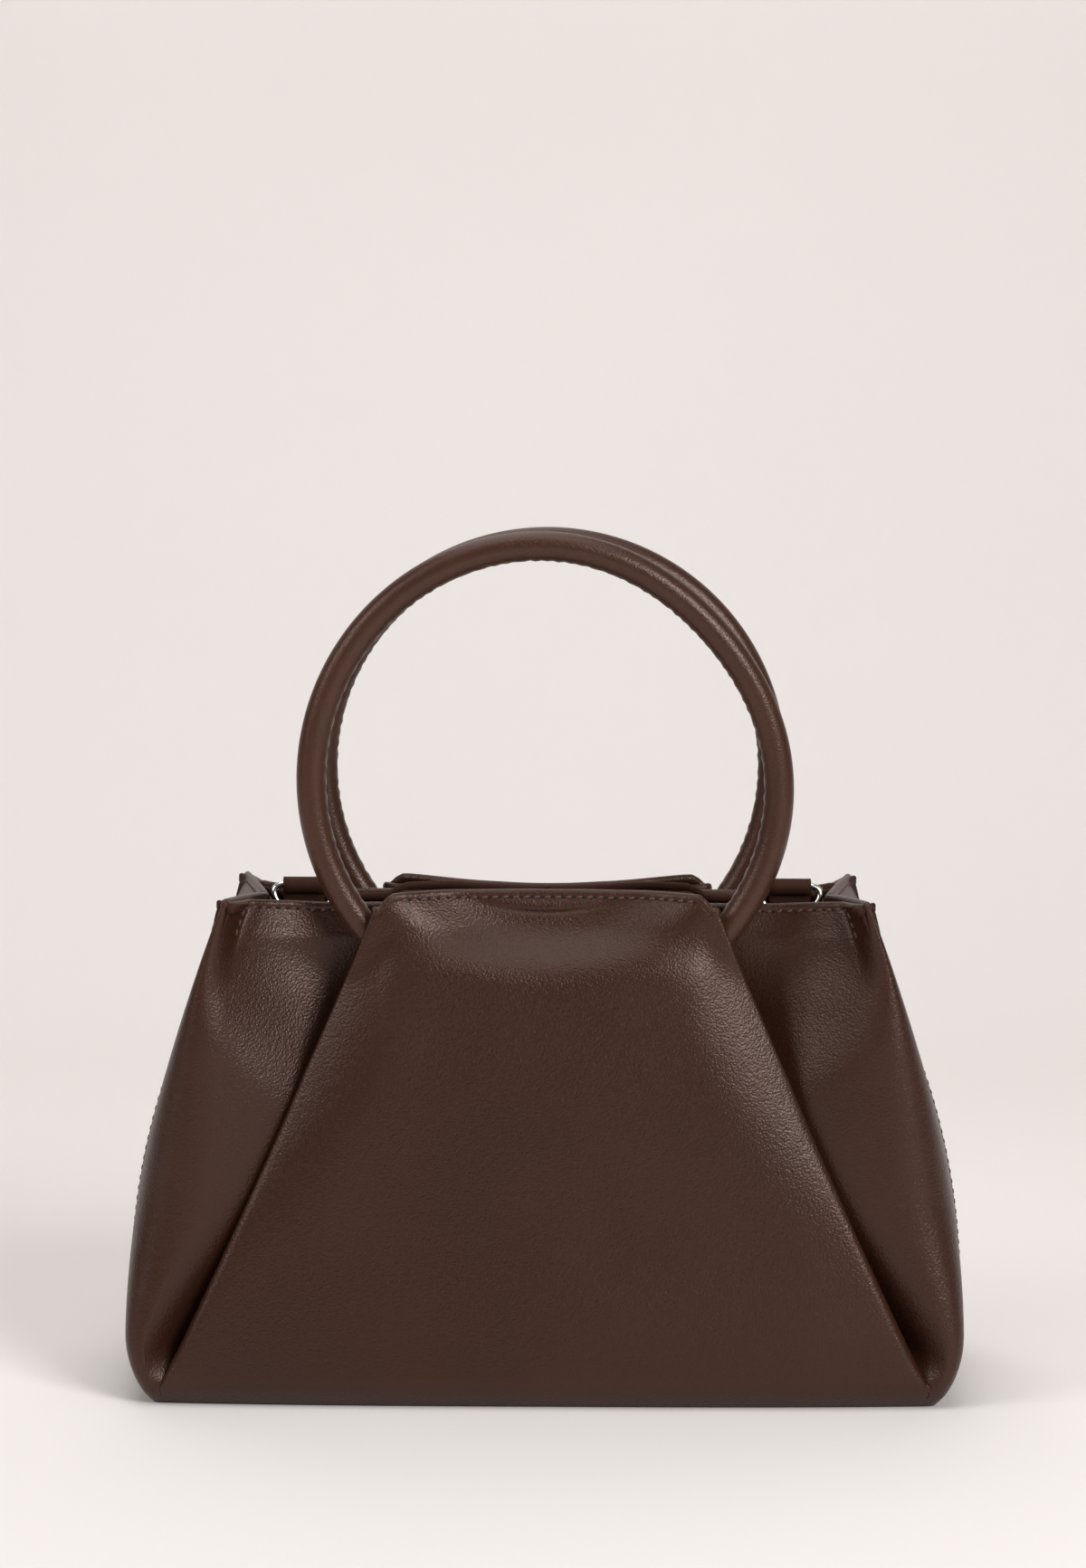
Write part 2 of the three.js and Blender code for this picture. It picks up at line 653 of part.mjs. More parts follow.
const bag = new THREE.Group();
bag.add(base());
bag.add(half('front', 'socket', snapSocket()));
const backHalf = half('back', 'stud', snapStud());
backHalf.rotation.z = Math.PI;
bag.add(backHalf);
bag.add(strapFittings(-1, 'left'));
bag.add(strapFittings(1, 'right'));

export default bag;
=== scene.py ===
import json
from math import atan, atan2, cos, degrees, exp, hypot, pi, radians, sin, sqrt, tan

import bmesh
import bpy
from mathutils import Matrix, Vector


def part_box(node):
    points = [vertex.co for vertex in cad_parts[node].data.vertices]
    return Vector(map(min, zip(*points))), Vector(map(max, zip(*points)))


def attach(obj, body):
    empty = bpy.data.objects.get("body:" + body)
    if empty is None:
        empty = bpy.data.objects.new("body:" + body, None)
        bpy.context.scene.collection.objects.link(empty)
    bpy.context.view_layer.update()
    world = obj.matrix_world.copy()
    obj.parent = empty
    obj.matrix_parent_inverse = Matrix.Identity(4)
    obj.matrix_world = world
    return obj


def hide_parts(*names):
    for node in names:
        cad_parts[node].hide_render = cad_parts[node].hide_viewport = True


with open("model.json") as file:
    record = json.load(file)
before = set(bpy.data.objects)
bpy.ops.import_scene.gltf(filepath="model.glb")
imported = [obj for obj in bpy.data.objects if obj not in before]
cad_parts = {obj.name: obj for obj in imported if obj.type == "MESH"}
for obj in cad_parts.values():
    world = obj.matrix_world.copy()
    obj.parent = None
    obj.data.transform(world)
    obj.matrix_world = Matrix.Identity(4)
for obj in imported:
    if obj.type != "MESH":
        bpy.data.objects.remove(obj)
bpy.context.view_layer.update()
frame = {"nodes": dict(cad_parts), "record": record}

# Camera: a long lens at arm's height, looking slightly down onto the front, turned and tilted a
# little as the photograph is.
LENS = 85.2
SENSOR = 36
CAMERA_PLACE = (0.00844, -1.3276, 0.3245)
CAMERA_YAW = radians(0.427)
CAMERA_PITCH = radians(4.752)
CAMERA_ROLL = radians(0.187)

scene = bpy.context.scene
camera = bpy.data.objects.new("camera", bpy.data.cameras.new("camera"))
camera.data.sensor_width = SENSOR
camera.data.lens = LENS
turned = Matrix.Rotation(CAMERA_YAW, 4, "Z") @ Matrix.Rotation(pi / 2 - CAMERA_PITCH, 4, "X")
camera.matrix_world = Matrix.Translation(CAMERA_PLACE) @ turned @ Matrix.Rotation(CAMERA_ROLL, 4, "Z")
scene.collection.objects.link(camera)
scene.camera = camera
scene.view_settings.view_transform = "Standard"

# Studio: a pale floor that sweeps up into a backdrop and shows only from its inner side, a key light
# from the upper right, a large soft box overhead, weaker lights behind and from the left, and dim
# surroundings.
MM = 0.001
WELD_GAP = 1e-6
FLOOR_COLOUR = (0.86, 0.815, 0.79, 1)
SURROUND = (1, 0.97, 0.94, 1)
SURROUND_STRENGTH = 0.1
FLOOR_HALF = 3000
SWEEP_START = 700
SWEEP_RADIUS = 600
SWEEP_STEPS = 24
LAMP_AIM = Vector((0, 0, 0.12))
LAMPS = (
    # name, place in metres, size in metres, watts
    ("key", (1.15, -1.55, 1.2), 0.8, 32),
    ("overhead", (-0.1, -0.4, 2.0), 1.5, 14.5),
    ("backlight", (-0.3, 0.9, 2.0), 1.2, 7),
    ("fill", (-1.7, -1.0, 1.3), 1.0, 14),
)


def grid(rows, columns, place):
    """Grid whose vertices are moved to place(row, column)."""
    mesh = bmesh.new()
    bmesh.ops.create_grid(mesh, x_segments=columns - 1, y_segments=rows - 1, size=1)
    for vertex in mesh.verts:
        column = round((vertex.co.x + 1) / 2 * (columns - 1))
        row = round((vertex.co.y + 1) / 2 * (rows - 1))
        vertex.co = Vector(place(row, column)) * MM
    return mesh


def as_object(name, mesh, material):
    """Object at the origin with this mesh, smoothly shaded."""
    bmesh.ops.remove_doubles(mesh, verts=mesh.verts, dist=WELD_GAP)
    bmesh.ops.recalc_face_normals(mesh, faces=mesh.faces)
    data = bpy.data.meshes.new(name)
    mesh.to_mesh(data)
    mesh.free()
    data.shade_smooth()
    data.materials.append(material)
    made = bpy.data.objects.new(name, data)
    scene.collection.objects.link(made)
    return made


class Value:
    """A node's output. Arithmetic on it adds Math nodes to its finish."""

    def __init__(self, finish, socket):
        self.finish = finish
        self.socket = socket

    def math(self, operation, *terms):
        return self.finish.node("ShaderNodeMath", {"operation": operation}, dict(enumerate(terms)))

    def __add__(self, other):
        return self.math("ADD", self, other)

    __radd__ = __add__

    def __sub__(self, other):
        return self.math("SUBTRACT", self, other)

    def __rsub__(self, other):
        return self.math("SUBTRACT", other, self)

    def __mul__(self, other):
        return self.math("MULTIPLY", self, other)

    __rmul__ = __mul__


class Finish:
    """A procedural material: constants on its shader's sockets, and links for what varies."""

    def __init__(self, name, **constants):
        self.material = bpy.data.materials.new(name)
        self.material.use_nodes = True
        self.tree = self.material.node_tree
        self.shader = self.tree.nodes["Principled BSDF"]
        for socket, value in constants.items():
            self.feed(socket.replace("_", " ").title(), value)

    def node(self, kind, settings, inputs, output=0):
        """Output of a new node of this kind, with these settings and socket values or links."""
        made = self.tree.nodes.new(kind)
        for setting, value in settings.items():
            setattr(made, setting, value)
        for socket, value in inputs.items():
            self.put(made.inputs[socket], value)
        return Value(self, made.outputs[output])

    def put(self, socket, value):
        if isinstance(value, Value):
            self.tree.links.new(value.socket, socket)
        else:
            socket.default_value = value

    def feed(self, socket, value):
        self.put(self.shader.inputs[socket], value)


def noise(place, scale, detail):
    inputs = {"Vector": place, "Scale": scale, "Detail": detail}
    return place.finish.node("ShaderNodeTexNoise", {}, inputs)


def blend(share, dark, light):
    """Colour between two."""
    return share.finish.node("ShaderNodeMix", {"data_type": "RGBA"}, {0: share, 6: dark, 7: light}, 2)


def mottled(name, colour, roughness, scale, spread, **constants):
    """Finish whose colour and roughness vary a little from place to place."""
    finish = Finish(name, **constants)
    place = finish.node("ShaderNodeTexCoord", {}, {}, "Object")
    patch = noise(place, scale, 3)
    shades = [[channel * shade for channel in colour[:3]] + [1] for shade in (1 - spread, 1 + spread)]
    finish.feed("Base Color", blend(patch, *shades))
    finish.feed("Roughness", roughness + (patch - 0.5) * spread)
    return finish


def sweep_place(row, column):
    x = (2 * column - 1) * FLOOR_HALF
    if row == 0:
        return x, -FLOOR_HALF, 0
    if row == SWEEP_STEPS + 2:
        return x, SWEEP_START + SWEEP_RADIUS, FLOOR_HALF
    turn = (row - 1) / SWEEP_STEPS * pi / 2
    return x, SWEEP_START + SWEEP_RADIUS * sin(turn), SWEEP_RADIUS * (1 - cos(turn))


floor_finish = mottled("floor", FLOOR_COLOUR, roughness=0.9, scale=3, spread=0.015)
floor_finish.feed("Alpha", floor_finish.node("ShaderNodeNewGeometry", {}, {}, "Backfacing"))
floor = as_object("floor", grid(SWEEP_STEPS + 3, 2, sweep_place), floor_finish.material)

for lamp_name, place, size, watts in LAMPS:
    lamp = bpy.data.lights.new(lamp_name, "AREA")
    lamp.size = size
    lamp.energy = watts
    holder = bpy.data.objects.new(lamp_name, lamp)
    holder.location = place
    holder.rotation_euler = (LAMP_AIM - Vector(place)).to_track_quat("-Z", "Y").to_euler()
    scene.collection.objects.link(holder)

world = bpy.data.worlds.new("surround")
world.use_nodes = True
world.node_tree.nodes["Background"].inputs["Color"].default_value = SURROUND
world.node_tree.nodes["Background"].inputs["Strength"].default_value = SURROUND_STRENGTH
scene.world = world

# Body shape: the curves that the walls, their linings and the base share. The walls draw in at
# the floor, lean in to the mouth, and the middle of each face wraps over the ring behind it.
BODY_HEIGHT = 176
BODY_WIDTH = 299
CORNER_WIDTH = 291.5
MOUTH_WIDTH = 226.5
GUSSET_FOLD = 12
BELLY_HEIGHT = 25
SIDE_TUCK = 12
CORNER_TUCK = 9
BASE_DEPTH = 117
CORNER_DEPTH = 110
MOUTH_DEPTH = 105
LIP_DEPTH = 58
FOOT_TUCK = 7
FOOT_RISE = 10
SEAM_LEAN = 2.2
CORNER_LEAN = 1.7
FACE_LEAN = 1.4
ROLL_LOW = 4.5
ROLL_BELLY = 22
ROLL_HIGH = 9
ROLL_START = 12
ROLL_RISE = 75
FOLD_FOOT = 137
FOLD_MOUTH = 59.5
FOLD_BOW = 2.5
FOLD_MARGIN = 6
RECESS = 8
POCKET_RECESS = 14
RECESS_START = 5
RECESS_RISE = 16
POCKET_CURVE = 1
POCKET_LOW = 14
POCKET_HIGH = 75
PIVOT_DROP = 12
SWING_OUT = tan(radians(12))
SWING_IN = tan(radians(6))
RING_ROOM = 1.5
FOLD_ROOM = 3
CREST_RUN = 24
CREST_GAP = 3
RAMP_MIDDLE = 24
RAMP_SIDE = 60
EDGE_DROP = 3.4
EDGE_RUN = 30
EDGE_LOW = 45
EDGE_HIGH = 115
EDGE_FADE = 148
CUSHION = 3.4
FACE_FLATNESS = 3
WING_CURVE = 2
SNAP_FLAT = 34

ring_low, ring_high = (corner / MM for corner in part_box("front_ring_cover"))
ring_tube = (ring_high.y - ring_low.y) / 2
ring_outer = (ring_high.x - ring_low.x) / 2
ring_middle = ring_outer - ring_tube
ring_bore = ring_middle - ring_tube
ring_plane = -(ring_high.y + ring_low.y) / 2
ring_centre = ring_high.z - ring_outer
pivot_height = BODY_HEIGHT - PIVOT_DROP


def lerp(start, end, share):
    return start + (end - start) * share


def smooth(value, low, high):
    share = min(max((value - low) / (high - low), 0), 1)
    return share * share * (3 - 2 * share)


def wall_profile(z, rise, foot, belly, mouth, lean):
    """Rounded foot up to the rise, then a curve leaning in to the mouth."""
    if z < rise:
        return lerp(belly, foot, (1 - z / rise) ** 2)
    return lerp(belly, mouth, ((z - rise) / (BODY_HEIGHT - rise)) ** lean)


def seam_x(z):
    belly = BODY_WIDTH / 2
    mouth = MOUTH_WIDTH / 2 - GUSSET_FOLD
    return wall_profile(z, BELLY_HEIGHT, belly - SIDE_TUCK, belly, mouth, SEAM_LEAN)


def corner_x(z):
    belly = CORNER_WIDTH / 2
    return wall_profile(z, BELLY_HEIGHT, belly - CORNER_TUCK, belly, MOUTH_WIDTH / 2, CORNER_LEAN)


def corner_y(z):
    belly = CORNER_DEPTH / 2
    return wall_profile(z, FOOT_RISE, belly - FOOT_TUCK, belly, MOUTH_DEPTH / 2, FACE_LEAN)


def middle_y(z):
    belly = BASE_DEPTH / 2
    return wall_profile(z, FOOT_RISE, belly - FOOT_TUCK, belly, LIP_DEPTH / 2, FACE_LEAN)


def fold_x(z):
    up = z / BODY_HEIGHT
    line = lerp(FOLD_FOOT, FOLD_MOUTH, up) - 4 * FOLD_BOW * up * (1 - up)
    return min(line, corner_x(z) - FOLD_MARGIN)


def roll(z):
    """Rounding of the corner between gusset and wing: tight at the foot and in the pinched top."""
    if z < ROLL_RISE:
        return lerp(ROLL_LOW, ROLL_BELLY, smooth(z, ROLL_START, ROLL_RISE))
    return lerp(ROLL_BELLY, ROLL_HIGH, smooth(z, ROLL_RISE, BODY_HEIGHT))


def envelope(x, z):
    return -lerp(middle_y(z), corner_y(z), (abs(x) / corner_x(z)) ** FACE_FLATNESS)


def ring_distance(x, z):
    return hypot(x, z - ring_centre)


def tunnel_front(z):
    return -(ring_plane + ring_tube + RING_ROOM + FOLD_ROOM) - max(0, pivot_height - z) * SWING_IN


def tunnel_back(z):
    swing = SWING_OUT if z < pivot_height else SWING_IN
    return -ring_plane + ring_tube + RING_ROOM + abs(z - pivot_height) * swing


def cushion(x, z):
    """Depth by which the padded middle of the face stands out, and its edges fall back."""
    edge = max(0, 1 - (fold_x(z) - abs(x)) / EDGE_RUN) ** 2
    swell = CUSHION * (1 - edge) * smooth(z, EDGE_LOW, EDGE_HIGH)
    drop = EDGE_DROP * edge * smooth(z, EDGE_LOW / 2, EDGE_HIGH)
    return (drop - swell) * (1 - smooth(z, EDGE_FADE, pivot_height))


def wrap(x, z):
    """Depth of the middle of the face, lifted by the ring that lies behind it."""
    plain = envelope(x, z)
    crest = ring_bore - CREST_GAP
    lifted = lerp(plain, tunnel_front(z), smooth(ring_distance(x, z), crest - CREST_RUN, crest))
    lift = (plain - lifted) * smooth(z, 0, ring_low.z)
    return plain - (lift + hypot(lift, FOLD_ROOM) - FOLD_ROOM) / 2 + cushion(x, z)


def backing_middle(z):
    drop = (BODY_HEIGHT - max(z, ring_low.z)) / (BODY_HEIGHT - ring_low.z)
    return lerp(-LIP_DEPTH / 2, tunnel_back(ring_low.z), drop)


def recess(x, z):
    """Depth of a wing behind the face: low down a pocket by the corner roll, higher the whole wing."""
    width = corner_x(z) - fold_x(z)
    widened = smooth(z, POCKET_LOW, POCKET_HIGH)
    start = lerp(min(roll(z), width / 2), 0, widened)
    share = min(max((corner_x(z) - start - abs(x)) / (width - start), 0), 1)
    deep = lerp(POCKET_RECESS, RECESS, widened) * smooth(z, RECESS_START, RECESS_START + RECESS_RISE)
    return deep * share ** lerp(POCKET_CURVE, WING_CURVE, widened)


def backing(x, z):
    """Depth of the wings and of what lines the face, with a pocket for the ring."""
    side = abs(x)
    body = envelope(x, z) + recess(x, z)
    pocket = lerp(backing_middle(z), tunnel_back(z), smooth(side, SNAP_FLAT, FOLD_MOUTH - FOLD_ROOM))
    ramp = lerp(RAMP_MIDDLE, RAMP_SIDE, smooth(side, SNAP_FLAT, ring_bore))
    return lerp(pocket, body, smooth(ring_distance(x, z), ring_outer, ring_outer + ramp))


# Base: a leather bottom set inside the foot of the walls, on a stiffening board that keeps it
# flat, with the lining's floor glued on top of the board.
LEATHER_DARK = (0.0245, 0.0084, 0.0045, 1)
LEATHER_LIGHT = (0.037, 0.0126, 0.0067, 1)
LEATHER_ROUGHNESS = 0.37
LEATHER_SHINE = 0.46
SHEEN_TINT = (1, 0.78, 0.7, 1)
GRAIN = 1500
GRAIN_DEPTH = 0.25
GRAIN_STRENGTH = 0.6
CLOUDS = 14
CLOUD_SHADE = 1.6
CLOUD_ROUGHNESS = 0.1
SPECKS = 0.7
SPECK_SHADE = 0.5
SPECK_ROUGHNESS = 0.25
PORES = 0.6
PORE_HEIGHT = 0.6
CLOTH_COLOUR = (0.12, 0.075, 0.052, 1)
CLOTH_ROUGHNESS = 0.85
WEAVE = 420
WEAVE_DEPTH = 0.2
WEAVE_STRENGTH = 0.4
BOARD_COLOUR = (0.18, 0.16, 0.15, 1)
BASE_EDGE = 1.1
BOARD_EDGE = 3.1
BASE_STEPS = 20
BASE_BEVEL = 0.4


def bump(height, strength, depth):
    """Normals tilted by a relief of this depth, in millimetres."""
    inputs = {"Strength": strength, "Distance": depth * MM, "Height": height}
    return height.finish.node("ShaderNodeBump", {}, inputs)


def leather(name, dark, light, roughness, shine, grain, depth):
    """Dark leather: cloudy brown, with a fine pebbled grain that scatters its shine."""
    finish = Finish(name)
    finish.feed("Specular IOR Level", shine)
    finish.feed("Specular Tint", SHEEN_TINT)
    place = finish.node("ShaderNodeTexCoord", {}, {}, "Object")
    cloud = noise(place, CLOUDS, 3) - 0.5
    speck = noise(place, grain * SPECKS, 2) - 0.5
    pores = noise(place, grain * PORES, 3)
    pebbles = {"Vector": place, "Scale": grain}
    cells = finish.node("ShaderNodeTexVoronoi", {"feature": "SMOOTH_F1"}, pebbles)
    finish.feed("Base Color", blend(0.5 + cloud * CLOUD_SHADE + speck * SPECK_SHADE, dark, light))
    finish.feed("Roughness", roughness + speck * SPECK_ROUGHNESS + cloud * CLOUD_ROUGHNESS)
    finish.feed("Normal", bump(pores * PORE_HEIGHT - cells, GRAIN_STRENGTH, depth))
    return finish.material


def cloth(name, colour):
    """Plain woven cloth: two crossing sets of threads, matt."""
    finish = Finish(name, base_color=colour, roughness=CLOTH_ROUGHNESS)
    place = finish.node("ShaderNodeTexCoord", {}, {}, "Object")
    inputs = {"Vector": place, "Scale": WEAVE}
    warp = finish.node("ShaderNodeTexWave", {"bands_direction": "DIAGONAL"}, inputs)
    weft = finish.node("ShaderNodeTexWave", {"bands_direction": "Z"}, inputs)
    height = warp.math("MAXIMUM", warp, weft)
    finish.feed("Normal", bump(height, WEAVE_STRENGTH, WEAVE_DEPTH))
    return finish.material


body_leather = leather(
    "body_leather", LEATHER_DARK, LEATHER_LIGHT, LEATHER_ROUGHNESS, LEATHER_SHINE, GRAIN, GRAIN_DEPTH
)
lining_cloth = cloth("lining_cloth", CLOTH_COLOUR)


def placed(made, body, slot, *nodes):
    """The piece rides on a body and stands for CAD nodes, which it hides. The slot is not used."""
    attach(made, body)
    if nodes:
        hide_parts(*nodes)


def rounded(near, corner, far, steps):
    """Points along the curve that rounds off a corner."""
    path = []
    for step in range(steps):
        share = step / steps
        path.append(near.lerp(corner, share).lerp(corner.lerp(far, share), share))
    return path


def foot_path():
    """Left half of the front of the foot, from the side seam to the centre plane."""
    seam = Vector((-seam_x(0), 0))
    corner = Vector((-corner_x(0), -corner_y(0)))
    near = corner.lerp(seam, ROLL_LOW / (corner - seam).length)
    far = Vector((corner.x + ROLL_LOW, backing(corner.x + ROLL_LOW, 0)))
    path = [seam, *rounded(near, corner, far, BASE_STEPS)]
    for step in range(BASE_STEPS):
        x = lerp(far.x, 0, step / BASE_STEPS)
        path.append(Vector((x, backing(x, 0))))
    return path


def bevelled(mesh, edges, width):
    bmesh.ops.bevel(
        mesh, geom=edges, offset=width * MM, affect="EDGES", segments=2, profile=0.5, material=-1
    )


def base_plate(inset, low, high):
    """Plate with the outline of the foot, drawn in by an inset, with softened edges."""
    narrowed, thinned = 1 - inset / seam_x(0), 1 - inset / middle_y(0)
    half = [Vector((p.x * narrowed, p.y * thinned)) for p in foot_path()]
    front = half + [Vector((0, half[-1].y))] + [Vector((-p.x, p.y)) for p in reversed(half[1:])]
    outline = front + [-p for p in front]
    mesh = bmesh.new()
    bmesh.ops.create_circle(mesh, cap_ends=True, segments=len(outline), radius=1)
    mesh.verts.ensure_lookup_table()
    for vertex, point in zip(mesh.verts, outline):
        vertex.co = Vector((point.x, point.y, low)) * MM
    risen = bmesh.ops.extrude_face_region(mesh, geom=mesh.faces[:])
    top = [item for item in risen["geom"] if isinstance(item, bmesh.types.BMVert)]
    bmesh.ops.translate(mesh, verts=top, vec=(0, 0, (high - low) * MM))
    rims = [edge for edge in mesh.edges if abs(edge.verts[0].co.z - edge.verts[1].co.z) < WELD_GAP]
    bevelled(mesh, rims, BASE_BEVEL)
    return mesh


base_low, base_high = (corner.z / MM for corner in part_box("base_panel"))
base_panel = as_object("base_leather", base_plate(BASE_EDGE, base_low, base_high), body_leather)
placed(base_panel, "root", "leather", "base_panel")
cloth_low, cloth_high = (corner.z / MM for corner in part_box("base_lining"))
base_cloth = as_object("base_cloth", base_plate(BOARD_EDGE, cloth_low, cloth_high), lining_cloth)
placed(base_cloth, "root", "lining", "base_lining")
board_finish = mottled("board", BOARD_COLOUR, roughness=0.9, scale=300, spread=0.15).material
frame["nodes"]["base_board"].data.materials.clear()
frame["nodes"]["base_board"].data.materials.append(board_finish)

# Front and back panels: one hide of leather each, running from side seam to side seam, its middle
# folded over the wings as a pleat that runs out at the bottom corners. The top edge is turned in
# and sewn, each corner is pinched by a bar tack, and eyes in the hidden layer let the ring through.
LEATHER = 1.3
SEAM_GAP = 0.3
GUSSET_COLUMNS = 14
ROLL_COLUMNS = 14
WING_COLUMNS = 26
GUSSET_CROWD = 1.7
WING_CROWD = 1.5
ROLL_SHARE = 0.8
LIFT_START = 0.6
ARC_COLUMNS = 10
TUCK_COLUMNS = 5
FACE_COLUMNS = 26
FOOT_ROWS = 14
FOOT_GAP = 0.6
WALL_ROWS = 46
TOP_ROWS = 22
TOP_BAND = 12
HEM_STEPS = 5
HEM_RADIUS = 0.8
HEM_TURN = 2
FOLD_RADIUS = 3
FOLD_TIGHT = 2.1
FOLD_TURN_FOOT = radians(25)
FOLD_TURN = radians(171)
FOLD_FORMED = 12
PLEAT_TUCK = 14
TUCK_START = 4
TUCK_FORMED = 40
TIGHT_START = 95
TIGHT_FULL = 135
TIGHT_POWER = 2.4
SEAM_GROOVE = 0.8
SEAM_SOFT = 1.2
EYE_ROOM = 2.4
TACK_INSET = 8.5
TACK_WIDTH = 1.6
TACK_DEPTH = 0.9
TACK_LOW = 163.5
TACK_FADE = 140
RIDGE_START = 2
RIDGE_END = 14
RIDGE_HEIGHT = 1.8
STITCH_DROP = 2
STITCH_SINK = 0.45
STITCH_GROOVE = 0.6
HEM_PUFF = 0.55
CREASE_HALF = 25
CREASE_DROP = 7.2
CREASE_BOW = 4
CREASE_DEPTH = 0.8
CREASE_WIDTH = 0.9
SWELL_RISE = 2.2
SWELL_WIDTH = 1.6
SWELL_SHARE = 0.7
CORNER_RISE = 0.5
CORNER_RIDGE = 2.5
GUSSET_DIP = 2.4
WING_DIP = 2.8
WING_RUN = 30
SHOULDER_DIP = 2.5
SHOULDER_RUN = 7
FRONT_LIP = (2.1, -0.6)
BACK_LIP = (1, 2.5)
ROLL_MIDDLE = GUSSET_COLUMNS + ROLL_COLUMNS // 2


def fold_path(z):
    """Pleat at one height: x from the fold's edge, and the share of the way from wing to wrap."""
    turn = lerp(FOLD_TURN_FOOT, FOLD_TURN, smooth(z, 0, FOLD_FORMED))
    tuck = PLEAT_TUCK * smooth(z, TUCK_START, TUCK_FORMED)
    radius = lerp(FOLD_RADIUS, FOLD_TIGHT, smooth(z, TIGHT_START, TIGHT_FULL))
    path = []
    for step in range(ARC_COLUMNS):
        angle = turn * step / (ARC_COLUMNS - 1)
        path.append(Vector((radius * sin(angle), radius * (1 - cos(angle)))))
    start = path[-1]
    for step in range(1, TUCK_COLUMNS):
        path.append(start + Vector((cos(turn), sin(turn))) * tuck * step / (TUCK_COLUMNS - 1))
    start = path[-1]
    for step in range(1, ARC_COLUMNS):
        angle = turn * (1 - step / (ARC_COLUMNS - 1))
        rise = Vector((sin(turn) - sin(angle), cos(angle) - cos(turn)))
        path.append(start + radius * rise)
    edge = start.x + radius * (sin(turn) - 1 if turn > pi / 2 else 0)
    tight = lerp(1, TIGHT_POWER, smooth(z, TIGHT_START, TIGHT_FULL))
    thick = path[-1].y
    return [(point.x - edge, 1 - (1 - point.y / thick) ** tight) for point in path]


def wall_path(z, end):
    """Side seam, gusset, corner roll and wing of the left wall, at one height."""
    seam = Vector((-seam_x(z), -SEAM_GAP / 2))
    corner = Vector((-corner_x(z), -corner_y(z)))
    round_off = roll(z)
    roll_end = corner.x + min(round_off, ROLL_SHARE * (end - corner.x))
    near = corner.lerp(seam, min(round_off / (corner - seam).length, ROLL_SHARE))
    far = Vector((roll_end, backing(roll_end, z)))
    path = [seam.lerp(near, (step / GUSSET_COLUMNS) ** GUSSET_CROWD) for step in range(GUSSET_COLUMNS)]
    path += rounded(near, corner, far, ROLL_COLUMNS)
    for step in range(WING_COLUMNS):
        x = lerp(roll_end, end, (step / WING_COLUMNS) ** WING_CROWD)
        path.append(Vector((x, backing(x, z))))
    return path


def top_rise(x, lip):
    """How far the lip's edge lies above the body's height at this place."""
    rise, sag = lip
    shoulder = smooth(FOLD_MOUTH - abs(x), 0, SHOULDER_RUN)
    middle = 1 - smooth(abs(x), 0, FOLD_MOUTH)
    return lerp(-SHOULDER_DIP, rise - sag * middle, shoulder)


def wing_rise(inset):
    """The same for a wing's edge, which falls from its corner towards the ring."""
    run = min(max(inset - CORNER_RIDGE, 0) / WING_RUN, 1)
    return lerp(CORNER_RISE, -WING_DIP, sqrt(run))


def wall_rise(index, inset):
    """The same for a column of the wall, along the gusset and round the corner to the wing."""
    if index < GUSSET_COLUMNS:
        return lerp(-GUSSET_DIP, CORNER_RISE, index / GUSSET_COLUMNS)
    if index < ROLL_MIDDLE:
        return CORNER_RISE
    return wing_rise(inset)


def lifting(z):
    """Share of the top edge's rise that the wall takes up at one height."""
    return smooth(z, BODY_HEIGHT * LIFT_START, BODY_HEIGHT)


def pinch(inset, z):
    """Depth by which a wing falls behind its corner's rolled ridge, deepest at the bar tack."""
    ridge = RIDGE_HEIGHT * smooth(inset, RIDGE_START, RIDGE_END)
    dimple = TACK_DEPTH * exp(-(((inset - TACK_INSET) / TACK_WIDTH) ** 2))
    near = smooth(z, (TACK_FADE + TACK_LOW) / 2, TACK_LOW)
    return ridge * smooth(z, TACK_FADE, TACK_LOW) + dimple * near


def lip_crease(x, z):
    """Depth of the lens-shaped crease under the lip, where the snap pulls the leather in."""
    across = min(abs(x) / CREASE_HALF, 1)
    below = BODY_HEIGHT - CREASE_DROP + CREASE_BOW * across * across
    groove = exp(-(((z - below) / CREASE_WIDTH) ** 2))
    swell = exp(-(((z - below - SWELL_RISE) / SWELL_WIDTH) ** 2))
    return CREASE_DEPTH * (1 - across * across) * (groove - SWELL_SHARE * swell)


def panel_half(z, lip):
    """Left half of a panel at one height, as points in space."""
    fold = fold_path(z)
    edge = -fold_x(z)
    half = []
    for index, (x, y) in enumerate(wall_path(z, edge + fold[0][0])):
        inset = corner_x(z) + x
        rise = wall_rise(index, inset)
        if index < GUSSET_COLUMNS:
            x += SEAM_GROOVE * exp(-abs(y) / SEAM_SOFT)
        elif index >= ROLL_MIDDLE:
            y += pinch(inset, z)
        half.append(Vector((x, y, z + rise * lifting(z))))
    for x, share in fold:
        x += edge
        rise = lerp(-WING_DIP, -SHOULDER_DIP, share)
        half.append(Vector((x, lerp(backing(x, z), wrap(x, z), share), z + rise * lifting(z))))
    start = edge + fold[-1][0]
    for step in range(1, FACE_COLUMNS):
        x = lerp(start, 0, step / FACE_COLUMNS)
        half.append(Vector((x, wrap(x, z) + lip_crease(x, z), z + top_rise(x, lip) * lifting(z))))
    return half


def panel_heights():
    foot = [lerp(FOOT_GAP, BELLY_HEIGHT, 1 - cos(row / FOOT_ROWS * pi / 2)) for row in range(FOOT_ROWS)]
    high = BODY_HEIGHT - TOP_BAND
    wall = [lerp(BELLY_HEIGHT, high, row / WALL_ROWS) for row in range(WALL_ROWS)]
    top = [lerp(high, BODY_HEIGHT - HEM_RADIUS, row / TOP_ROWS) for row in range(TOP_ROWS + 1)]
    return foot + wall + top


def net(points):
    """Sheet through rows of points."""
    return grid(len(points), len(points[0]), lambda row, column: points[row][column])


